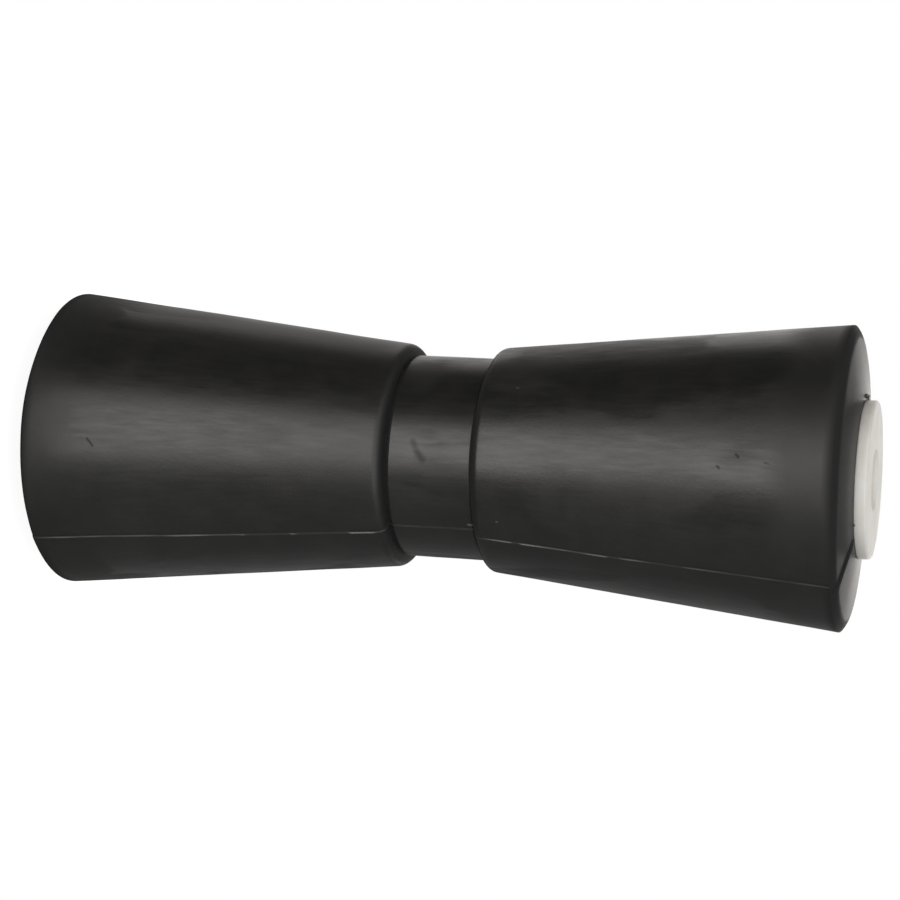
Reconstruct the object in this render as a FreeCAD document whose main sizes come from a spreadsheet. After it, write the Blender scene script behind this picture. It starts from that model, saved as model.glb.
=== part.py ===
import FreeCAD, Part
import math
import os
import Sketcher

# A keel roller for a boat trailer: one moulding of black rubber, two cones that meet at a short neck,
# with a flanged nylon sleeve pushed into each end for the spindle it turns on.
# +Z runs up the spindle, the origin is the middle of the lower flange's outer face,
# and the mould parted along the XZ plane.

doc = FreeCAD.newDocument("keel_roller")
sheet = doc.addObject("Spreadsheet::Sheet", "sizes")

# Driving dimensions in millimetres
driving_sizes = [
    ("overall_length", 252.2),
    ("rim_diameter", 89.0),
    ("waist_diameter", 66.5),
    ("neck_step", 3.15),
    ("neck_length", 25.4),
    ("shoulder_round", 2.9),
    ("rim_break", 0.5),
    ("margin_width", 4.4),
    ("margin_rise", 2.2),
    ("face_rise", 2.0),
    ("core_clearance", 0.75),
    ("flange_diameter", 46.0),
    ("flange_thickness", 3.45),
    ("flange_break", 0.5),
    ("seat_margin", 0.5),
    ("sleeve_diameter", 26.0),
    ("sleeve_length", 38.0),
    ("sleeve_lead", 1.0),
    ("spindle_bore", 16.5),
    ("bore_lead", 0.8),
    ("push_clearance", 0.05),
    ("socket_end_gap", 1.0),
    ("flash_width", 0.6),
    ("flash_proud", 0.35),
    ("groove_width", 0.7),
    ("groove_depth", 0.5),
]
for row, (alias, value) in enumerate(driving_sizes, start=1):
    sheet.set("A%d" % row, alias)
    sheet.set("B%d" % row, str(value))
    sheet.setAlias("B%d" % row, alias)
doc.recompute()

# Places worked out from the driving dimensions, as expressions
rim_radius = "sizes.rim_diameter / 2"
waist_radius = "sizes.waist_diameter / 2"
neck_radius = waist_radius + " - sizes.neck_step"
flange_radius = "sizes.flange_diameter / 2"
sleeve_radius = "sizes.sleeve_diameter / 2"
spindle_radius = "sizes.spindle_bore / 2"
core_radius = spindle_radius + " + sizes.core_clearance"
socket_radius = sleeve_radius + " + sizes.push_clearance"
socket_depth = "(sizes.sleeve_length + sizes.socket_end_gap)"
seat_radius = flange_radius + " + sizes.seat_margin"
margin_radius = rim_radius + " - sizes.margin_width"
low_seat = "sizes.flange_thickness"
low_margin = low_seat + " + sizes.face_rise"
low_rim = low_margin + " + sizes.margin_rise"
low_shoulder = "sizes.overall_length / 2 - sizes.neck_length / 2"


def number(expression):
    """The present value of an expression over the sheet."""
    return float(sheet.evalExpression(expression))


def from_top(height):
    """The same height measured down from the upper end."""
    return "sizes.overall_length - (" + height + ")"


def plane_of(body, role):
    """One of the body's own origin planes."""
    return [feature for feature in body.Origin.OriginFeatures if feature.Role == role][0]


def bind(sketch, constraint, expression):
    """Adds a dimension to the sketch and ties it to its expression."""
    index = sketch.addConstraint(constraint)
    sketch.setExpression("Constraints[%d]" % index, expression)


def closed_profile(body, name, points):
    """A closed sketch of straight runs on the body's XZ plane, through (radius, height) expressions."""
    sketch = body.newObject("Sketcher::SketchObject", name)
    sketch.AttachmentSupport = [(plane_of(body, "XZ_Plane"), "")]
    sketch.MapMode = "FlatFace"
    corners = [FreeCAD.Vector(number(radius), number(height), 0) for radius, height in points]
    for index, start in enumerate(corners):
        end = corners[(index + 1) % len(corners)]
        sketch.addGeometry(Part.LineSegment(start, end))
    for index, (radius, height) in enumerate(points):
        following = (index + 1) % len(points)
        sketch.addConstraint(Sketcher.Constraint("Coincident", index, 2, following, 1))
        bind(sketch, Sketcher.Constraint("DistanceX", -1, 1, index, 1, corners[index].x), radius)
        bind(sketch, Sketcher.Constraint("DistanceY", -1, 1, index, 1, corners[index].y), height)
    return sketch


def revolved(body, sketch, name):
    """A full turn of the sketch about the spindle."""
    feature = body.newObject("PartDesign::Revolution", name)
    feature.Profile = sketch
    feature.ReferenceAxis = (sketch, ["V_Axis"])
    feature.Angle = 360.0
    doc.recompute()
    return feature


def rings(shape, places):
    """Names of the circular edges at the given (radius, height) expressions."""
    wanted = [(number(radius), number(height)) for radius, height in places]
    names = []
    for index, edge in enumerate(shape.Edges, start=1):
        if not isinstance(edge.Curve, Part.Circle):
            continue
        for radius, height in wanted:
            same_radius = abs(edge.Curve.Radius - radius) < 0.01
            if same_radius and abs(edge.Curve.Center.z - height) < 0.01:
                names.append("Edge%d" % index)
    return names


def rounded(body, base, name, places, radius):
    """A fillet round the circular edges at the given places."""
    fillet = body.newObject("PartDesign::Fillet", name)
    fillet.Base = (base, rings(base.Shape, places))
    fillet.setExpression("Radius", radius)
    doc.recompute()
    return fillet


def chamfered(body, base, name, places, size):
    """A chamfer round the circular edges at the given places."""
    chamfer = body.newObject("PartDesign::Chamfer", name)
    chamfer.Base = (base, rings(base.Shape, places))
    chamfer.setExpression("Size", size)
    doc.recompute()
    return chamfer


# The outside of the rubber. The moulding itself has proud = 0. The same outline, a little larger,
# trims the flash that stands out of the parting line, and a little smaller one is the groove's floor.
def rubber_outside(name, proud, inner_radius):
    """A body with the roller's outline, moved outwards by the expression proud."""
    body = doc.addObject("PartDesign::Body", name)
    grown_rim = rim_radius + " + " + proud
    grown_waist = waist_radius + " + " + proud
    grown_neck = neck_radius + " + " + proud
    seat = low_seat + " - " + proud
    margin = low_margin + " - " + proud
    rim = low_rim + " - " + proud
    shoulder = low_shoulder + " + " + proud
    lower_half = [
        (inner_radius, seat),
        (seat_radius, seat),
        (margin_radius, margin),
        (grown_rim, rim),
        (grown_waist, shoulder),
        (grown_neck, shoulder),
    ]
    upper_half = [(radius, from_top(height)) for radius, height in reversed(lower_half)]
    sketch = closed_profile(body, name + "_outline", lower_half + upper_half)
    blank = revolved(body, sketch, name + "_turned")
    shoulders = [(grown_waist, shoulder), (grown_waist, from_top(shoulder))]
    shoulder_radius = "min(sizes.shoulder_round + " + proud + "; 0.95 * sizes.neck_step)"
    softened = rounded(body, blank, name + "_shoulders", shoulders, shoulder_radius)
    rims = [(grown_rim, rim), (grown_rim, from_top(rim))]
    chamfered(body, softened, name + "_rims", rims, "sizes.rim_break")
    return body


def socket(body, name, mouth, upward):
    """A pocket for one sleeve, sunk from the seat at the height mouth."""
    sketch = body.newObject("Sketcher::SketchObject", name + "_circle")
    sketch.AttachmentSupport = [(plane_of(body, "XY_Plane"), "")]
    sketch.MapMode = "FlatFace"
    sketch.setExpression("AttachmentOffset.Base.z", mouth)
    sketch.addGeometry(Part.Circle(FreeCAD.Vector(), FreeCAD.Vector(0, 0, 1), number(socket_radius)))
    sketch.addConstraint(Sketcher.Constraint("Coincident", 0, 3, -1, 1))
    bind(sketch, Sketcher.Constraint("Radius", 0, number(socket_radius)), socket_radius)
    pocket = body.newObject("PartDesign::Pocket", name)
    pocket.Profile = sketch
    pocket.setExpression("Length", socket_depth)
    pocket.Reversed = upward
    doc.recompute()


# The moulded rubber: outside, the bore that clears the spindle, and a socket for each sleeve
moulding = rubber_outside("moulding", "0", core_radius)
solid_volume = moulding.Shape.Volume
socket(moulding, "lower_socket", low_seat, True)
socket(moulding, "upper_socket", from_top(low_seat), False)
socket_ring = number(socket_radius) ** 2 - number(core_radius) ** 2
expected_loss = 2 * math.pi * socket_ring * number(socket_depth)
if abs(solid_volume - moulding.Shape.Volume - expected_loss) > 0.001 * expected_loss:
    raise ValueError("a sleeve socket cuts the wrong way")

# The flash: a thin web in the parting plane that stands a little out of cones and neck.
# It is rooted halfway between the sockets and the neck's surface.
flash_root = "(" + socket_radius + " + " + neck_radius + ") / 2"
flash_outside = rubber_outside("flash_outside", "sizes.flash_proud", flash_root)
parting_slab = doc.addObject("Part::Box", "parting_slab")
parting_slab.setExpression("Length", "sizes.rim_diameter + 4 * sizes.flash_proud")
parting_slab.setExpression("Width", "sizes.flash_width")
parting_slab.setExpression("Height", from_top(low_rim) + " - (" + low_rim + ")")
parting_slab.setExpression("Placement.Base.x", "-sizes.rim_diameter / 2 - 2 * sizes.flash_proud")
parting_slab.setExpression("Placement.Base.y", "-sizes.flash_width / 2")
parting_slab.setExpression("Placement.Base.z", low_rim)
flash = doc.addObject("Part::Common", "flash")
flash.Base = flash_outside
flash.Tool = parting_slab
flashed = doc.addObject("Part::Fuse", "flashed_moulding")
flashed.Base = moulding
flashed.Tool = flash

# The groove: the parting line across each end face, from the middle of the rim's margin to the flange
groove_reach = "(" + margin_radius + " + sizes.margin_width / 2)"
groove_floor = rubber_outside("groove_floor", "-sizes.groove_depth", core_radius)


def groove_cutter(name, height):
    """The slab over one end face, less what stays below the groove's floor."""
    slab = doc.addObject("Part::Box", name + "_slab")
    slab.setExpression("Length", "2 * " + groove_reach)
    slab.setExpression("Width", "sizes.groove_width")
    slab.setExpression("Height", "sizes.face_rise + sizes.margin_rise + 2 * sizes.groove_depth")
    slab.setExpression("Placement.Base.x", "-" + groove_reach)
    slab.setExpression("Placement.Base.y", "-sizes.groove_width / 2")
    slab.setExpression("Placement.Base.z", height)
    cutter = doc.addObject("Part::Cut", name)
    cutter.Base = slab
    cutter.Tool = groove_floor
    return cutter


grooves = doc.addObject("Part::MultiFuse", "grooves")
grooves.Shapes = [
    groove_cutter("lower_groove", low_seat + " - sizes.groove_depth"),
    groove_cutter("upper_groove", from_top(low_rim) + " - sizes.groove_depth"),
]
roller_body = doc.addObject("Part::Cut", "roller_body")
roller_body.Base = flashed
roller_body.Tool = grooves
roller_body.Label = "roller_body"
roller_body.Placement = FreeCAD.Placement()


# A flanged nylon sleeve, drawn standing on its flange with its sleeve upwards
def flanged_sleeve(label, placement):
    """One turned nylon sleeve with a round flange and a bore for the spindle."""
    body = doc.addObject("PartDesign::Body", label)
    inner_end = "sizes.flange_thickness + sizes.sleeve_length"
    sketch = closed_profile(body, label + "_section", [
        (spindle_radius, "0"),
        (flange_radius, "0"),
        (flange_radius, "sizes.flange_thickness"),
        (sleeve_radius, "sizes.flange_thickness"),
        (sleeve_radius, inner_end),
        (spindle_radius, inner_end),
    ])
    blank = revolved(body, sketch, label + "_turned")
    flange_edge = [(flange_radius, "0")]
    broken = chamfered(body, blank, label + "_flange_edge", flange_edge, "sizes.flange_break")
    sleeve_end = [(sleeve_radius, inner_end)]
    led_in = chamfered(body, broken, label + "_lead_in", sleeve_end, "sizes.sleeve_lead")
    bore_mouth = [(spindle_radius, "0")]
    chamfered(body, led_in, label + "_bore_mouth", bore_mouth, "sizes.bore_lead")
    body.Label = label
    body.Placement = placement
    return body


half_turn = FreeCAD.Rotation(FreeCAD.Vector(1, 0, 0), 180)
lower_sleeve = flanged_sleeve("lower_sleeve", FreeCAD.Placement())
upper_sleeve = flanged_sleeve("upper_sleeve", FreeCAD.Placement(FreeCAD.Vector(), half_turn))
upper_sleeve.setExpression("Placement.Base.z", "sizes.overall_length")
doc.recompute()

# Every feature has to be sound before anything is written
for item in doc.Objects:
    if "Invalid" in item.State or "Error" in item.State:
        raise ValueError(item.Name + " did not compute: " + str(item.State))
os.makedirs("parts", exist_ok=True)
for sub_part in (roller_body, lower_sleeve, upper_sleeve):
    shape = sub_part.Shape
    if shape.isNull() or not shape.isValid() or len(shape.Solids) != 1:
        raise ValueError(sub_part.Label + " is not one sound solid")
    shape.exportStep("parts/" + sub_part.Label + ".step")
    print(sub_part.Label, round(shape.Volume, 1), shape.BoundBox)
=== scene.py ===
import math

import bmesh
import bpy
import mathutils
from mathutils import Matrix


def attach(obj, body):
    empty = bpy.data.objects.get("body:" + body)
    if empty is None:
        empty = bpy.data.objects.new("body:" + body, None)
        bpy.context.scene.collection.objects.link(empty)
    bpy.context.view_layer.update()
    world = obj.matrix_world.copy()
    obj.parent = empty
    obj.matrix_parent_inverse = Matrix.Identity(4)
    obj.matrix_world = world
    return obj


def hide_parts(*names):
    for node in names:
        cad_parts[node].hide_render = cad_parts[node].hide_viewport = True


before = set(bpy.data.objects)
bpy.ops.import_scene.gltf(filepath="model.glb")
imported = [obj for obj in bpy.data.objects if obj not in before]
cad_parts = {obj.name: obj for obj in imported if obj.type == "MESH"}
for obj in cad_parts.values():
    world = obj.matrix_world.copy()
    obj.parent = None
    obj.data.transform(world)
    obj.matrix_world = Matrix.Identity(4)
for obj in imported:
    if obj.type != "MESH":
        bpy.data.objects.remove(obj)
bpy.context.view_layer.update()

# Rubber roller body.
# One compression moulding of black natural rubber, filled with carbon black: two cones that meet at a
# short neck. The mould's halves leave a line of flash along it and a groove across each end face.

# Sizes in millimetres; the heights are those of the lower half, mirrored about the neck
ROLLER_LENGTH = 252.2
FLANGE_THICKNESS = 3.45
SPINDLE_CLEARANCE_RADIUS = 9.0
SOCKET_RADIUS = 13.05
SOCKET_END = 42.45
SEAT_RADIUS = 23.5
MARGIN_CORNER = (42.5, 6.1)
MARGIN_ROUND = 7.2
RIM = (44.5, 7.65)
RIM_ROUND = 0.45
SHOULDER = (33.25, 113.4)
SHOULDER_ROUND = 2.9
UPPER_SHOULDER_LAG = 1.1
NECK_RADIUS = 30.1
# Width and depth of the crease at the foot of each shoulder
LOWER_CREASE = (1.6, 0.8)
UPPER_CREASE = (0.9, 0.5)
# The mesh's longest runs along straight parts and its widest angle round an arc
OUTSIDE_STEP = 1.25
ARC_STEP = math.radians(9)


def rounded_path(corners, step):
    """Points along a line through (radius, height, rounding) corners, with true arcs and short runs."""
    points = [corners[0][:2]]
    for before, corner, after in zip(corners, corners[1:], corners[2:]):
        here = mathutils.Vector(corner[:2])
        back = (mathutils.Vector(before[:2]) - here).normalized()
        ahead = (mathutils.Vector(after[:2]) - here).normalized()
        rounding = corner[2]
        if rounding <= 0:
            points.append(tuple(here))
            continue
        half_angle = back.angle(ahead) / 2
        tangent = rounding / math.tan(half_angle)
        centre = here + (back + ahead).normalized() * rounding / math.sin(half_angle)
        start = here + back * tangent - centre
        finish = here + ahead * tangent - centre
        sweep = start.angle_signed(finish)
        pieces = max(3, math.ceil(abs(sweep) / ARC_STEP))
        for piece in range(pieces + 1):
            spoke = mathutils.Matrix.Rotation(-sweep * piece / pieces, 2) @ start
            points.append(tuple(centre + spoke))
    points.append(corners[-1][:2])
    fine = []
    for start, finish in zip(points, points[1:]):
        run = math.dist(start, finish)
        pieces = max(1, math.ceil(run / step))
        for piece in range(pieces):
            share = piece / pieces
            radius = start[0] + (finish[0] - start[0]) * share
            height = start[1] + (finish[1] - start[1]) * share
            fine.append((radius, height))
    fine.append(points[-1])
    return fine


def turned_mesh(name, loop, angles, point_of):
    """A closed mesh of a closed profile turned about Z. point_of(radius, height, normal, angle) gives each
    point in millimetres, how far it is flash and how far it is painted dark as shade, from 0 to 1."""
    vertices = []
    flash_shares = []
    painted_shade_shares = []
    count = len(loop)
    for index, (radius, height) in enumerate(loop):
        before, after = loop[index - 1], loop[(index + 1) % count]
        along = mathutils.Vector((after[0] - before[0], after[1] - before[1])).normalized()
        normal = (along.y, -along.x)
        for angle in angles:
            spot_radius, spot_height, flash_share, painted_shade_share = point_of(radius, height, normal, angle)
            vertices.append((
                spot_radius * math.cos(angle) / 1000,
                spot_radius * math.sin(angle) / 1000,
                spot_height / 1000))
            flash_shares.append(flash_share)
            painted_shade_shares.append(painted_shade_share)
    faces = []
    columns = len(angles)
    for row in range(count):
        following = (row + 1) % count
        for column in range(columns):
            beside = (column + 1) % columns
            faces.append((
                row * columns + column, row * columns + beside,
                following * columns + beside, following * columns + column))
    mesh = bpy.data.meshes.new(name)
    mesh.from_pydata(vertices, [], faces)
    mesh.update()
    mesh.shade_smooth()
    mesh.attributes.new("flash", "FLOAT", "POINT").data.foreach_set("value", flash_shares)
    mesh.attributes.new("painted_shade", "FLOAT", "POINT").data.foreach_set("value", painted_shade_shares)
    made = bpy.data.objects.new(name, mesh)
    bpy.context.scene.collection.objects.link(made)
    return made


def outside_of_half(shoulder_height, crease_width, crease_depth):
    """The outline of one half, from its socket's mouth over rim and shoulder to the middle of the neck."""
    return rounded_path([
        (SOCKET_RADIUS, FLANGE_THICKNESS, 0),
        (SEAT_RADIUS, FLANGE_THICKNESS, 0),
        (*MARGIN_CORNER, MARGIN_ROUND),
        (*RIM, RIM_ROUND),
        (SHOULDER[0], shoulder_height, SHOULDER_ROUND),
        (NECK_RADIUS - crease_depth, shoulder_height + 0.15 * crease_width, 0.1),
        (NECK_RADIUS, shoulder_height + crease_width, 0.3),
        (NECK_RADIUS, ROLLER_LENGTH / 2, 0),
    ], OUTSIDE_STEP)


# In the photograph the upper shoulder lies a little farther from the middle than the lower one
lower_outside = outside_of_half(SHOULDER[1], *LOWER_CREASE)
upper_half = outside_of_half(SHOULDER[1] - UPPER_SHOULDER_LAG, *UPPER_CREASE)
upper_outside = [(radius, ROLLER_LENGTH - height) for radius, height in reversed(upper_half[:-1])]
socket_and_bore = [
    (SOCKET_RADIUS, ROLLER_LENGTH - SOCKET_END),
    (SPINDLE_CLEARANCE_RADIUS, ROLLER_LENGTH - SOCKET_END),
    (SPINDLE_CLEARANCE_RADIUS, SOCKET_END),
    (SOCKET_RADIUS, SOCKET_END),
]
rubber_loop = lower_outside + upper_outside + socket_and_bore

# The groove turns a little away from the parting plane on the upper end, and narrows inwards
GROOVE_LAG = math.radians(3.4)
GROOVE_DEPTH = 0.9
GROOVE_HALF_WIDTH = 0.85
GROOVE_NARROWING = 0.35
GROOVE_REACH = 3
GROOVE_FROM_RIM = 0.9
# One half of the mould stands prouder than the other on the end faces, which fades out to each side and
# just inside the rim
HALF_STEP = 0.27
HALF_STEP_FADE = 9
HALF_STEP_RIM_FADE = 2
HALF_STEP_FROM_RIM = 0.4

# Columns are close together along the flash line and the groove on each side, and wide elsewhere.
# These are angles in degrees
FLASH_LINE_REACH = 1.1
CLOSE_COLUMNS_END = FLASH_LINE_REACH + math.degrees(GROOVE_LAG) + 0.9
CLOSE_COLUMN = 0.17
WIDEST_COLUMN = 2.3
half_turn_angles = []
angle = -FLASH_LINE_REACH
while angle < CLOSE_COLUMNS_END:
    half_turn_angles.append(angle)
    angle += CLOSE_COLUMN
while angle < 180 - FLASH_LINE_REACH - 0.2:
    half_turn_angles.append(angle)
    from_close = min(angle - CLOSE_COLUMNS_END, 180 - FLASH_LINE_REACH - angle)
    angle += min(WIDEST_COLUMN, 0.25 + 0.35 * max(from_close, 0))
rubber_angles = [math.radians(degrees + side) for side in (0, 180) for degrees in half_turn_angles]

# Slight waves in the skin: their length and height
WAVES = [(21, 0.10), (7.5, 0.035)]
# The painted shade of a shoulder's crease, near black and matt, reaches up the shoulder and fades out, and
# ends sharply on the neck
CREASE_SHADE_REACH = 3.7
CREASE_SHADE_FADE = 1.8
CREASE_SHADE_EDGE = 0.3
# A rim gets painted shade too, a little weaker, round a middle given by its radius and height
RIM_SHADE = 0.85
RIM_SHADE_MIDDLE = (43.5, 6.9)
RIM_SHADE_REACH = 2.9
RIM_SHADE_FADE = 1.2
# The flash is a bead that wanders, swells and breaks off, each over a length of its own
FLASH_SHIFT = 0.30
FLASH_SHIFT_LENGTH = 38
FLASH_JITTER = 0.10
FLASH_JITTER_LENGTH = 9
FLASH_HEIGHT = 0.19
FLASH_SWELL = 0.20
FLASH_SWELL_LENGTH = 6.5
FLASH_BREAK_LEVEL = 0.34
FLASH_BREAK_LENGTH = 11
BROKEN_FLASH_HEIGHT = 0.05
LEAST_FLASH_HEIGHT = 0.03
FULL_FLASH_HEIGHT = 0.36
BEAD_HALF_WIDTH = 0.17
# A fine undercut, painted dark as shade, runs along one side of it, and on the other the rubber lies a
# little lower
UNDERCUT_PLACE = 0.5
UNDERCUT_HALF_WIDTH = 0.24
UNDERCUT_DEPTH = 0.13
UNDERCUT_SHADE = 0.6
LOW_SIDE_DEPTH = 0.10
LOW_SIDE_START = 0.5
LOW_SIDE_FADE = 5
# The flash is fainter on neck and shoulders, and towards the upper end
NECK_FLASH = 0.25
FAINT_FLASH = 0.5
FAINT_FLASH_START = 195
FAINT_FLASH_RUN = 20


def wander(seed, height, wavelength):
    """Smooth noise along the roller, between about -1 and 1."""
    return mathutils.noise.noise(mathutils.Vector((height / wavelength, seed * 7.3, 0.37)))


def limited(share):
    """A share kept between 0 and 1."""
    return min(max(share, 0.0), 1.0)


def painted_shade_of(radius, height, to_crease, crease_width):
    """How far a point lies in the painted shade of a shoulder's crease or of a rim."""
    if to_crease > 0:
        from_corner = math.hypot(to_crease, radius - NECK_RADIUS)
        share = limited((CREASE_SHADE_REACH - from_corner) / CREASE_SHADE_FADE)
    else:
        share = limited((crease_width + to_crease) / CREASE_SHADE_EDGE)
    from_rim = math.dist((radius, min(height, ROLLER_LENGTH - height)), RIM_SHADE_MIDDLE)
    return max(share, RIM_SHADE * limited((RIM_SHADE_REACH - from_rim) / RIM_SHADE_FADE))


def flash_line(side, height, across, to_crease, shade_share):
    """The lift, the share of flash and the painted shade of a point that lies across from the parting plane.
    """
    shift = FLASH_SHIFT * wander(3 + side, height, FLASH_SHIFT_LENGTH)
    shift += FLASH_JITTER * wander(5 + side, height, FLASH_JITTER_LENGTH)
    ridge = FLASH_HEIGHT + FLASH_SWELL * wander(7 + side, height, FLASH_SWELL_LENGTH)
    if wander(9 + side, height, FLASH_BREAK_LENGTH) > FLASH_BREAK_LEVEL:
        ridge = BROKEN_FLASH_HEIGHT
    if to_crease < SHOULDER_ROUND:
        ridge *= NECK_FLASH
    ridge *= 1 - FAINT_FLASH * limited((height - FAINT_FLASH_START) / FAINT_FLASH_RUN)
    ridge = max(ridge, LEAST_FLASH_HEIGHT)
    distance = across - shift
    bead = math.exp(-(distance / BEAD_HALF_WIDTH) ** 2)
    undercut = math.exp(-((distance + UNDERCUT_PLACE) / UNDERCUT_HALF_WIDTH) ** 2)
    lift = ridge * bead - UNDERCUT_DEPTH * undercut
    if distance > 0:
        lift -= LOW_SIDE_DEPTH * math.exp(-distance / LOW_SIDE_FADE) * min(1, distance / LOW_SIDE_START)
    # The undercut is painted dark as shade; the bead itself is not
    shade_share = max(shade_share * (1 - bead), UNDERCUT_SHADE * undercut)
    return lift, bead * min(1, ridge / FULL_FLASH_HEIGHT), shade_share


def end_face(radius, across, shade_share):
    """The lift and the painted shade of a point of an end face that lies across from the groove's middle."""
    lift = 0.0
    from_rim = RIM[0] - radius
    if from_rim > HALF_STEP_FROM_RIM:
        fade = math.exp(-abs(across) / HALF_STEP_FADE) * min(1, from_rim / HALF_STEP_RIM_FADE)
        lift += math.copysign(HALF_STEP, across) * fade
    if abs(across) < GROOVE_REACH and from_rim > GROOVE_FROM_RIM:
        half_width = GROOVE_HALF_WIDTH * (1 - GROOVE_NARROWING * from_rim / (RIM[0] - SEAT_RADIUS))
        trough = math.exp(-(across / half_width) ** 4)
        lift -= GROOVE_DEPTH * trough
        # The groove's bottom is painted dark as shade
        shade_share = max(shade_share, trough)
    return lift, shade_share


def moulded_point(radius, height, normal, angle):
    """Where a point of the rubber really lies, with waves, flash line and groove, and how far it is flash
    and painted shade.
    """
    if radius < SEAT_RADIUS + 0.01:
        return radius, height, 0.0, 0.0
    side = 0 if -math.pi / 2 < math.remainder(angle, math.tau) < math.pi / 2 else 1
    from_line = math.remainder(angle - math.pi * side, math.tau)
    lag = 0.0
    to_crease = SHOULDER[1] - height
    crease_width = LOWER_CREASE[0]
    if height > ROLLER_LENGTH / 2:
        lag = GROOVE_LAG
        to_crease = SHOULDER[1] - UPPER_SHOULDER_LAG - (ROLLER_LENGTH - height)
        crease_width = UPPER_CREASE[0]
    shade_share = painted_shade_of(radius, height, to_crease, crease_width)
    if RIM[1] + 0.2 < height < ROLLER_LENGTH - RIM[1] - 0.2:
        lift, flash_share, shade_share = flash_line(side, height, from_line * radius, to_crease, shade_share)
    else:
        lift, shade_share = end_face(radius, (from_line - lag) * radius, shade_share)
        flash_share = 0.0
    spot = mathutils.Vector((radius * math.cos(angle), radius * math.sin(angle), height))
    for length, wave_height in WAVES:
        lift += wave_height * mathutils.noise.noise(spot / length)
    return radius + normal[0] * lift, height + normal[1] * lift, flash_share, shade_share


roller_body = turned_mesh("rubber_roller", rubber_loop, rubber_angles, moulded_point)

# Crumbs of rubber and dirt that cling where the upper flange meets the end: angle, radius, size
CRUMBS = [(-132, 24.0, 0.62), (-126, 24.5, 0.45), (-139, 23.5, 0.40), (-9.5, 23.3, 0.40)]
CRUMB_GREYNESS = 0.8
upper_seat = ROLLER_LENGTH - FLANGE_THICKNESS
shell = bmesh.new()
shell.from_mesh(roller_body.data)
flash_layer = shell.verts.layers.float["flash"]
for degrees, radius, size in CRUMBS:
    turn = math.radians(degrees)
    spot = mathutils.Vector((radius * math.cos(turn), radius * math.sin(turn), upper_seat + size / 3)) / 1000
    crumb = bmesh.ops.create_icosphere(
        shell, subdivisions=2, radius=size / 1000, matrix=mathutils.Matrix.Translation(spot))["verts"]
    for vertex in crumb:
        outward = vertex.co - spot
        vertex.co = spot + outward * (1 + 0.45 * mathutils.noise.noise(vertex.co * 1300))
        vertex[flash_layer] = CRUMB_GREYNESS
shell.to_mesh(roller_body.data)
shell.free()
roller_body.data.shade_smooth()


def linear(hex_colour):
    """An sRGB hex colour as linear RGBA."""
    channels = [int(hex_colour[index:index + 2], 16) / 255 for index in (0, 2, 4)]
    return tuple(c / 12.92 if c <= 0.04045 else ((c + 0.055) / 1.055) ** 2.4 for c in channels) + (1.0,)


def add_node(tree, kind, inputs=None, **settings):
    """Adds one node. Each input is a plain value, or the output that feeds it."""
    node = tree.nodes.new(kind)
    for name, value in settings.items():
        setattr(node, name, value)
    for name, value in (inputs or {}).items():
        if isinstance(value, bpy.types.NodeSocket):
            tree.links.new(value, node.inputs[name])
        else:
            node.inputs[name].default_value = value
    return node


# Natural rubber as it leaves a polished steel mould: near black, with a satin skin that mirrors a lamp
# softly. Where release agent dried, and where it was wiped, the skin is a little duller or glossier. The
# two ends, by which it is handled, are the dullest. Creases, rims, the end grooves and the undercut beside
# the flash stay matt and are painted near black as shade.
RUBBER_BLACK = linear("131312")
RUBBER_BLOOM = linear("1C1B1A")
# Grey of the thin scuffed flash, of dust specks and crumbs; on the flash it is also a painted highlight for
# its ridge
FLASH_GREY_AND_HIGHLIGHT = linear("63605A")
# Near black of the painted shade in creases, on rims, in the grooves and the undercut, and of the dark nicks
SHADE_AND_NICK_BLACK = linear("080808")
RUBBER_IOR = 1.52
MOULDED_ROUGHNESS = (0.18, 0.34)
MOULDED_STREAKS = 0.28
WIPED_ROUGHNESS = 0.19
WIPED_STREAKS = 0.24
HANDLED_ROUGHNESS = 0.50
DULLED_ROUGHNESS = 0.50
SHADE_AND_NICK_ROUGHNESS = 0.85
# Patterns in millimetres. The skin's real grit is too fine to show, so it is drawn this coarse
PATCH_LENGTH = 34
BLOOM_SIZE = 34 / 3.1
STREAK_WIDTH = 1.4
GRIT_SIZE = 0.9
GRIT_DEPTH = 0.2
# Heights in millimetres between which the skin of each end grows dull. The edge's raggedness, which is
# half of its value on average, is added to a point's height before they are compared
HANDLED_TOP = (237, 248)
HANDLED_FOOT = (40.2, 37)
HANDLED_RAGGEDNESS = 30

rubber = bpy.data.materials.new("moulded_natural_rubber")
rubber.use_nodes = True
tree = rubber.node_tree
tree.nodes.clear()
place = add_node(tree, "ShaderNodeTexCoord").outputs["Object"]
drawn_out = add_node(tree, "ShaderNodeMapping", {"Vector": place, "Scale": (1.0, 1.0, 0.42)})
patches = add_node(tree, "ShaderNodeTexNoise", {
    "Vector": drawn_out.outputs["Vector"], "Scale": 1000 / PATCH_LENGTH, "Detail": 4.0, "Roughness": 0.55,
    "Distortion": 0.6})
patch_edges = add_node(tree, "ShaderNodeMapRange", {
    "Value": patches.outputs["Fac"], "From Min": 0.47, "From Max": 0.53})
bloom = add_node(tree, "ShaderNodeTexNoise", {
    "Vector": place, "Scale": 1000 / BLOOM_SIZE, "Detail": 5.0, "Roughness": 0.6})
bloom_amount = add_node(tree, "ShaderNodeMapRange", {
    "Value": bloom.outputs["Fac"], "From Min": 0.42, "From Max": 0.75})
colour = add_node(tree, "ShaderNodeMix", {
    "Factor": bloom_amount.outputs["Result"], "A": RUBBER_BLACK, "B": RUBBER_BLOOM}, data_type="RGBA")
flash = add_node(tree, "ShaderNodeAttribute", attribute_name="flash").outputs["Fac"]
long_drawn = add_node(tree, "ShaderNodeMapping", {"Vector": place, "Scale": (1.0, 1.0, 0.09)})
streaks = add_node(tree, "ShaderNodeTexNoise", {
    "Vector": long_drawn.outputs["Vector"], "Scale": 1000 / STREAK_WIDTH, "Detail": 3.0,
    "Roughness": 0.6}).outputs["Fac"]


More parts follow.
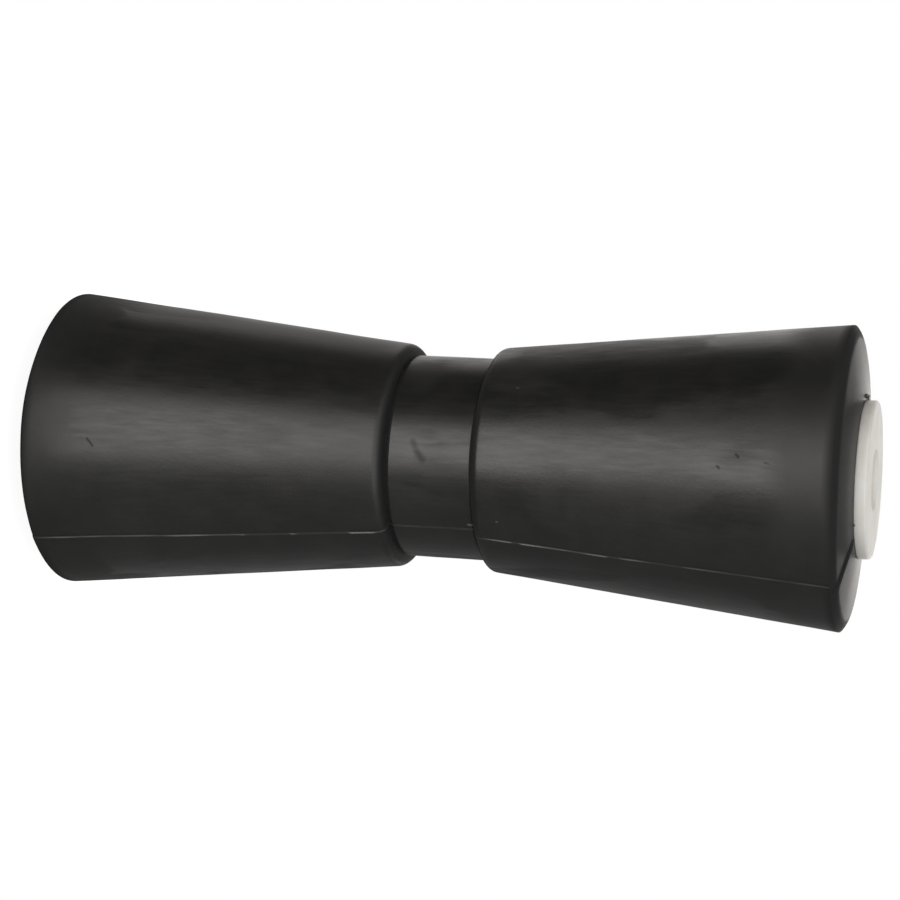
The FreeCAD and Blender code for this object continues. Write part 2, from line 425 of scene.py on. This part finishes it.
def stroke(start, finish, half_width, strength):
    """How far a point lies within a stroke between two places in millimetres, from 0 up to strength."""
    start = mathutils.Vector(start) / 1000
    run = mathutils.Vector(finish) / 1000 - start
    offset = add_node(tree, "ShaderNodeVectorMath", {
        0: place, 1: start}, operation="SUBTRACT").outputs["Vector"]
    along = add_node(tree, "ShaderNodeVectorMath", {
        0: offset, 1: run / run.length_squared}, operation="DOT_PRODUCT").outputs["Value"]
    share = add_node(tree, "ShaderNodeClamp", {"Value": along}).outputs["Result"]
    foot = add_node(tree, "ShaderNodeVectorMath", {
        0: run, "Scale": share}, operation="SCALE").outputs["Vector"]
    gap = add_node(tree, "ShaderNodeVectorMath", {
        0: offset, 1: foot}, operation="DISTANCE").outputs["Value"]
    return add_node(tree, "ShaderNodeMapRange", {
        "Value": gap, "From Min": half_width / 1000, "From Max": 0.0, "To Max": strength},
        interpolation_type="SMOOTHSTEP").outputs["Result"]


def largest_of(shares):
    """The largest of several shares."""
    largest = shares[0]
    for share in shares[1:]:
        larger = add_node(tree, "ShaderNodeMath", {0: largest, 1: share}, operation="MAXIMUM")
        largest = larger.outputs["Value"]
    return largest


# Nicks and the scuff on the neck are dark, specks of dust light. Each is a stroke with two end places, a
# half width and a strength
NICKS = [
    ((30.9, -28.9, 27.2), (32.3, -27.4, 29.0), 0.55, 0.7),
    ((26.7, -32.0, 217.8), (27.2, -31.6, 218.5), 0.70, 0.6),
    ((28.9, -29.3, 212.7), (29.2, -29.0, 213.2), 0.60, 0.6),
    ((0.2, -43.3, 233.0), (0.5, -43.3, 233.5), 0.60, 0.6),
    ((33.4, -7.6, 147.9), (33.5, -6.9, 147.9), 0.80, 0.9),
    ((28.6, -31.3, 226.0), (29.6, -30.3, 230.0), 0.40, 0.5),
    ((33.1, -2.7, 141.0), (33.5, -1.2, 142.6), 0.75, 0.95),
    ((19.0, -23.4, 122.0), (21.0, -21.6, 123.3), 1.6, 0.3),
    ((21.0, -21.6, 123.3), (22.7, -19.8, 125.2), 1.7, 0.4),
]
SPECKS = [
    ((5.7, -34.1, 151.4), (5.8, -34.1, 151.7), 0.5, 0.35),
    ((33.5, -7.1, 147.8), (33.5, -7.1, 148.1), 0.45, 0.6),
    ((30.0, -1.9, 138.0), (30.0, -1.8, 139.0), 0.6, 0.8),
    ((35.9, 16.9, 52.0), (35.7, 16.8, 54.5), 1.3, 0.16),
]
# Broad areas that are duller or glossier than the rest, written the same way. The last one wiped is the
# upper end face
DULLED = [
    ((27.0, -28.5, 88.0), (24.5, -26.0, 110.0), 22.0, 0.40),
    ((-22.0, -38.0, 40.0), (-16.0, -33.0, 104.0), 20.0, 0.9),
]
WIPED = [
    ((25.3, -26.2, 145.0), (27.5, -28.0, 178.0), 20.0, 0.8),
    ((27.5, -28.0, 178.0), (29.0, -29.8, 206.0), 17.0, 0.7),
    ((29.5, -31.5, 32.0), (28.0, -30.5, 56.0), 14.0, 0.4),
    ((12.0, -41.5, 22.0), (9.0, -34.0, 104.0), 24.0, 0.9),
    ((38.5, -19.5, 25.0), (31.0, -15.5, 105.0), 22.0, 0.9),
    ((0.0, 0.0, 248.0), (0.0, 0.0, 249.0), 52.0, 1.0),
]
nicks = largest_of([stroke(*nick) for nick in NICKS])
dulled = largest_of([stroke(*area) for area in DULLED])
wiped = largest_of([stroke(*area) for area in WIPED])
specks = largest_of([stroke(*speck) for speck in SPECKS])
# Painted shade from the mesh, together with the real dark nicks: near black and matt
painted_shade = add_node(tree, "ShaderNodeAttribute", attribute_name="painted_shade").outputs["Fac"]
shade_and_nicks = largest_of([painted_shade, nicks])
shade_and_nick_colour = add_node(tree, "ShaderNodeMix", {
    "Factor": shade_and_nicks, "A": colour.outputs["Result"], "B": SHADE_AND_NICK_BLACK}, data_type="RGBA")
# The flash is painted lighter grey, partly as a painted highlight on its ridge; dust specks and crumbs take
# the same grey
flash_and_highlight_colour = add_node(tree, "ShaderNodeMix", {
    "Factor": largest_of([flash, specks]), "A": shade_and_nick_colour.outputs["Result"], "B": FLASH_GREY_AND_HIGHLIGHT},
    data_type="RGBA")
height = add_node(tree, "ShaderNodeSeparateXYZ", {"Vector": place}).outputs["Z"]
ragged = add_node(tree, "ShaderNodeMath", {
    0: patches.outputs["Fac"], 1: HANDLED_RAGGEDNESS / 1000, 2: height}, operation="MULTIPLY_ADD")
handled_ends = [
    add_node(tree, "ShaderNodeMapRange", {
        "Value": ragged.outputs["Value"], "From Min": first / 1000, "From Max": full / 1000},
        interpolation_type="SMOOTHSTEP").outputs["Result"]
    for first, full in (HANDLED_TOP, HANDLED_FOOT)]
moulded_roughness = add_node(tree, "ShaderNodeMapRange", {
    "Value": patch_edges.outputs["Result"], "To Min": MOULDED_ROUGHNESS[0], "To Max": MOULDED_ROUGHNESS[1]})
streaky_roughness = add_node(tree, "ShaderNodeMath", {
    0: streaks, 1: MOULDED_STREAKS, 2: moulded_roughness.outputs["Result"]}, operation="MULTIPLY_ADD")
handled_roughness = add_node(tree, "ShaderNodeMix", {
    "Factor": largest_of(handled_ends), "A": streaky_roughness.outputs["Value"], "B": HANDLED_ROUGHNESS},
    data_type="FLOAT")
wiped_skin = add_node(tree, "ShaderNodeMath", {
    0: streaks, 1: WIPED_STREAKS, 2: WIPED_ROUGHNESS}, operation="MULTIPLY_ADD")
wiped_roughness = add_node(tree, "ShaderNodeMix", {
    "Factor": wiped, "A": handled_roughness.outputs["Result"], "B": wiped_skin.outputs["Value"]},
    data_type="FLOAT")
dulled_roughness = add_node(tree, "ShaderNodeMix", {
    "Factor": dulled, "A": wiped_roughness.outputs["Result"], "B": DULLED_ROUGHNESS}, data_type="FLOAT")
roughness = add_node(tree, "ShaderNodeMix", {
    "Factor": shade_and_nicks, "A": dulled_roughness.outputs["Result"], "B": SHADE_AND_NICK_ROUGHNESS}, data_type="FLOAT")
grit = add_node(tree, "ShaderNodeTexNoise", {
    "Vector": place, "Scale": 1000 / GRIT_SIZE, "Detail": 3.0, "Roughness": 0.6})
skin = add_node(tree, "ShaderNodeBump", {
    "Height": grit.outputs["Fac"], "Strength": 0.12, "Distance": GRIT_DEPTH / 1000})
surface = add_node(tree, "ShaderNodeBsdfPrincipled", {
    "Base Color": flash_and_highlight_colour.outputs["Result"], "Roughness": roughness.outputs["Result"],
    "IOR": RUBBER_IOR, "Normal": skin.outputs["Normal"]})
add_node(tree, "ShaderNodeOutputMaterial", {"Surface": surface.outputs["BSDF"]})
roller_body.data.materials.append(rubber)
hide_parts("roller_body")
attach(roller_body, "root")

# Flanged sleeves.
# Two nylon bushes, injection moulded in natural off-white, pushed into the ends of the bore until their
# flanges lie on the rubber. Each has softened edges and a countersunk mouth for the spindle.

FLANGE_RADIUS = 23.0
FLANGE_EDGE_ROUND = 0.7
SLEEVE_RADIUS = 13.0
SLEEVE_END = 41.45
SLEEVE_LEAD = 1.0
SPINDLE_RADIUS = 8.25
MOUTH_COUNTERSINK = 0.8
SLEEVE_STEP = 2.5
SLEEVE_SIDES = 144
# A moulded flange is flat and round to within a few hundredths
FLANGE_WAVE = 0.03
FLANGE_WAVE_LENGTH = 6

sleeve_profile = rounded_path([
    (SPINDLE_RADIUS, SLEEVE_END, 0),
    (SPINDLE_RADIUS, MOUTH_COUNTERSINK, 0.2),
    (SPINDLE_RADIUS + MOUTH_COUNTERSINK, 0, 0.2),
    (FLANGE_RADIUS, 0, FLANGE_EDGE_ROUND),
    (FLANGE_RADIUS, FLANGE_THICKNESS, 0.35),
    (SLEEVE_RADIUS, FLANGE_THICKNESS, 0.2),
    (SLEEVE_RADIUS, SLEEVE_END - SLEEVE_LEAD, 0),
    (SLEEVE_RADIUS - SLEEVE_LEAD, SLEEVE_END, 0),
], SLEEVE_STEP)
upper_sleeve_profile = [(radius, ROLLER_LENGTH - height) for radius, height in reversed(sleeve_profile)]
sleeve_angles = [math.tau * side / SLEEVE_SIDES for side in range(SLEEVE_SIDES)]


def sleeve_point(radius, height, normal, angle):
    """Where a point of a sleeve lies: only the flange has its slight waves."""
    lift = 0.0
    if radius > SLEEVE_RADIUS + 2:
        spot = mathutils.Vector((radius * math.cos(angle), radius * math.sin(angle), height))
        lift = FLANGE_WAVE * mathutils.noise.noise(spot / FLANGE_WAVE_LENGTH)
    return radius + normal[0] * lift, height + normal[1] * lift, 0.0, 0.0


# Natural nylon: a milky off-white that lets light a little way in, with a satin moulded skin. It clouds
# over some millimetres, and its grit is drawn as coarse as the rubber's
NYLON_WHITE = linear("F0EDE6")
NYLON_SHADE = linear("E9E4DB")
NYLON_IOR = 1.53
NYLON_ROUGHNESS = (0.38, 0.52)
CLOUD_SIZE = 9
LIGHT_DEPTH = 3.5

nylon = bpy.data.materials.new("natural_nylon")
nylon.use_nodes = True
tree = nylon.node_tree
tree.nodes.clear()
place = add_node(tree, "ShaderNodeTexCoord").outputs["Object"]
clouds = add_node(tree, "ShaderNodeTexNoise", {
    "Vector": place, "Scale": 1000 / CLOUD_SIZE, "Detail": 3.0, "Roughness": 0.5})
cloud_amount = add_node(tree, "ShaderNodeMapRange", {
    "Value": clouds.outputs["Fac"], "From Min": 0.35, "From Max": 0.7})
colour = add_node(tree, "ShaderNodeMix", {
    "Factor": cloud_amount.outputs["Result"], "A": NYLON_WHITE, "B": NYLON_SHADE}, data_type="RGBA")
roughness = add_node(tree, "ShaderNodeMapRange", {
    "Value": clouds.outputs["Fac"], "To Min": NYLON_ROUGHNESS[0], "To Max": NYLON_ROUGHNESS[1]})
grit = add_node(tree, "ShaderNodeTexNoise", {
    "Vector": place, "Scale": 1000 / GRIT_SIZE, "Detail": 2.0})
skin = add_node(tree, "ShaderNodeBump", {
    "Height": grit.outputs["Fac"], "Strength": 0.08, "Distance": GRIT_DEPTH / 1000})
surface = add_node(tree, "ShaderNodeBsdfPrincipled", {
    "Base Color": colour.outputs["Result"], "Roughness": roughness.outputs["Result"],
    "IOR": NYLON_IOR, "Subsurface Weight": 0.7, "Subsurface Radius": (1.0, 0.9, 0.75),
    "Subsurface Scale": LIGHT_DEPTH / 1000, "Normal": skin.outputs["Normal"]})
add_node(tree, "ShaderNodeOutputMaterial", {"Surface": surface.outputs["BSDF"]})

for name, profile in (("lower_sleeve", sleeve_profile), ("upper_sleeve", upper_sleeve_profile)):
    sleeve = turned_mesh("nylon_" + name, profile, sleeve_angles, sleeve_point)
    sleeve.data.materials.append(nylon)
    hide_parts(name)
    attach(sleeve, "root")

# Studio.
# The roller stands on its end on a round white table, in soft light. The camera lies on its side, so the
# roller lies across the picture with its upper end to the right.

# The table's sizes and the camera's place, in metres
TABLE_RADIUS = 0.10
TABLE_THICKNESS = 0.018
TABLE_SIDES = 96
CAMERA_PLACE = mathutils.Vector((0.50805, -0.47876, 0.32023))
CAMERA_FORWARD = mathutils.Vector((-0.715980, 0.665985, -0.209374))
CAMERA_UP = mathutils.Vector((-0.672102, -0.738680, -0.051290))

edge_angles = [math.tau * side / TABLE_SIDES for side in range(TABLE_SIDES)]
table_mesh = bpy.data.meshes.new("round_table")
table_vertices = [
    (TABLE_RADIUS * math.cos(angle), TABLE_RADIUS * math.sin(angle), z)
    for z in (0.0, -TABLE_THICKNESS) for angle in edge_angles]
table_faces = [tuple(range(TABLE_SIDES)), tuple(reversed(range(TABLE_SIDES, 2 * TABLE_SIDES)))]
for side in range(TABLE_SIDES):
    beside = (side + 1) % TABLE_SIDES
    table_faces.append((TABLE_SIDES + side, TABLE_SIDES + beside, beside, side))
table_mesh.from_pydata(table_vertices, [], table_faces)
table = bpy.data.objects.new("round_table", table_mesh)
bpy.context.scene.collection.objects.link(table)

# Matt paint. The camera sees it almost as white as the room, and it keeps the roller's shadow
TABLE_GREY = linear("9A9A98")
TABLE_GLOW = 0.92

table_paint = bpy.data.materials.new("white_table_paint")
table_paint.use_nodes = True
tree = table_paint.node_tree
tree.nodes.clear()
camera_sees = add_node(tree, "ShaderNodeLightPath").outputs["Is Camera Ray"]
glow = add_node(tree, "ShaderNodeMath", {0: camera_sees, 1: TABLE_GLOW}, operation="MULTIPLY")
shade = add_node(tree, "ShaderNodeBsdfPrincipled", {
    "Base Color": TABLE_GREY, "Roughness": 0.7, "Emission Color": (1.0, 1.0, 1.0, 1.0),
    "Emission Strength": glow.outputs["Value"]})
add_node(tree, "ShaderNodeOutputMaterial", {"Surface": shade.outputs["BSDF"]})
table.data.materials.append(table_paint)

# A white room to the camera. To the roller it is dim, with soft patches of light in some directions, each
# with the cosine where it begins, the cosine where it is full, and its level
ROOM_LEVEL = 0.15
ROOM_PATCHES = [
    ((0.73, -0.68, 0.0), -0.7, 0.3, 0.31),
    ((0.0, 0.0, 1.0), 0.45, 0.85, 0.30),
    ((0.0, 0.0, -1.0), 0.5, 0.85, 0.10),
    ((-0.68, -0.73, 0.0), 0.35, 0.9, 0.08),
    ((0.0, 0.97, -0.22), 0.75, 0.95, 0.26),
    ((0.61, -0.57, 0.55), 0.63, 0.90, 1.62),
]

world = bpy.data.worlds.new("white_room")
bpy.context.scene.world = world
world.use_nodes = True
tree = world.node_tree
tree.nodes.clear()
camera_sees = add_node(tree, "ShaderNodeLightPath").outputs["Is Camera Ray"]
direction = add_node(tree, "ShaderNodeTexCoord").outputs["Generated"]
level = ROOM_LEVEL
for patch_direction, first_cosine, full_cosine, patch_level in ROOM_PATCHES:
    cosine = add_node(tree, "ShaderNodeVectorMath", {
        0: direction, 1: patch_direction}, operation="DOT_PRODUCT")
    share = add_node(tree, "ShaderNodeMapRange", {
        "Value": cosine.outputs["Value"], "From Min": first_cosine, "From Max": full_cosine},
        interpolation_type="SMOOTHSTEP")
    mixed = add_node(tree, "ShaderNodeMix", {
        "Factor": share.outputs["Result"], "A": level, "B": patch_level}, data_type="FLOAT")
    level = mixed.outputs["Result"]
strength = add_node(tree, "ShaderNodeMix", {
    "Factor": camera_sees, "A": level, "B": 1.0}, data_type="FLOAT")
room = add_node(tree, "ShaderNodeBackground", {
    "Color": (1.0, 1.0, 1.0, 1.0), "Strength": strength.outputs["Result"]})
add_node(tree, "ShaderNodeOutputWorld", {"Surface": room.outputs["Background"]})

# The cloth of the softboxes makes their light a little warm
SOFTBOX_WHITE = linear("FFFAF5")[:3]
# Each lamp: name, angle from the camera towards the top of the picture, elevation, distance, size
# across, size along Z, radiance
LAMPS = [
    ("key_softbox", 10.4, -20, 0.90, 0.67, 0.60, 3.35),
    ("back_softbox", 146, -12, 1.00, 0.90, 0.70, 0.85),
    ("far_softbox", -176, 11, 1.00, 1.05, 0.30, 3.5),
]
camera_side = math.atan2(CAMERA_PLACE.y, CAMERA_PLACE.x)
middle = mathutils.Vector((0, 0, ROLLER_LENGTH / 2000))
for name, aside, elevation, distance, width, height, radiance in LAMPS:
    lamp = bpy.data.lights.new(name, "AREA")
    lamp.shape = "RECTANGLE"
    lamp.color = SOFTBOX_WHITE
    lamp.size = width
    lamp.size_y = height
    lamp.energy = radiance * math.pi * width * height
    bearing = camera_side - math.radians(aside)
    rise = math.radians(elevation)
    outward = mathutils.Vector((
        math.cos(bearing) * math.cos(rise), math.sin(bearing) * math.cos(rise), math.sin(rise)))
    stand = bpy.data.objects.new(name, lamp)
    stand.location = middle + outward * distance
    stand.rotation_euler = outward.to_track_quat("Z", "Y").to_euler()
    stand.visible_camera = False
    bpy.context.scene.collection.objects.link(stand)

# The picture's middle lies beside the lens's axis, by a share of the picture's width
PICTURE_SHIFT = -150 / 900
LENS = 96.6
camera_data = bpy.data.cameras.new("picture_camera")
camera_data.sensor_width = 36.0
camera_data.lens = LENS
camera_data.shift_x = PICTURE_SHIFT
camera = bpy.data.objects.new("picture_camera", camera_data)
camera_right = CAMERA_FORWARD.cross(CAMERA_UP).normalized()
camera_top = camera_right.cross(CAMERA_FORWARD)
camera_turn = mathutils.Matrix((camera_right, camera_top, -CAMERA_FORWARD)).transposed()
camera.matrix_world = mathutils.Matrix.Translation(CAMERA_PLACE) @ camera_turn.to_4x4()
bpy.context.scene.collection.objects.link(camera)
bpy.context.scene.camera = camera
bpy.context.scene.view_settings.view_transform = "Standard"
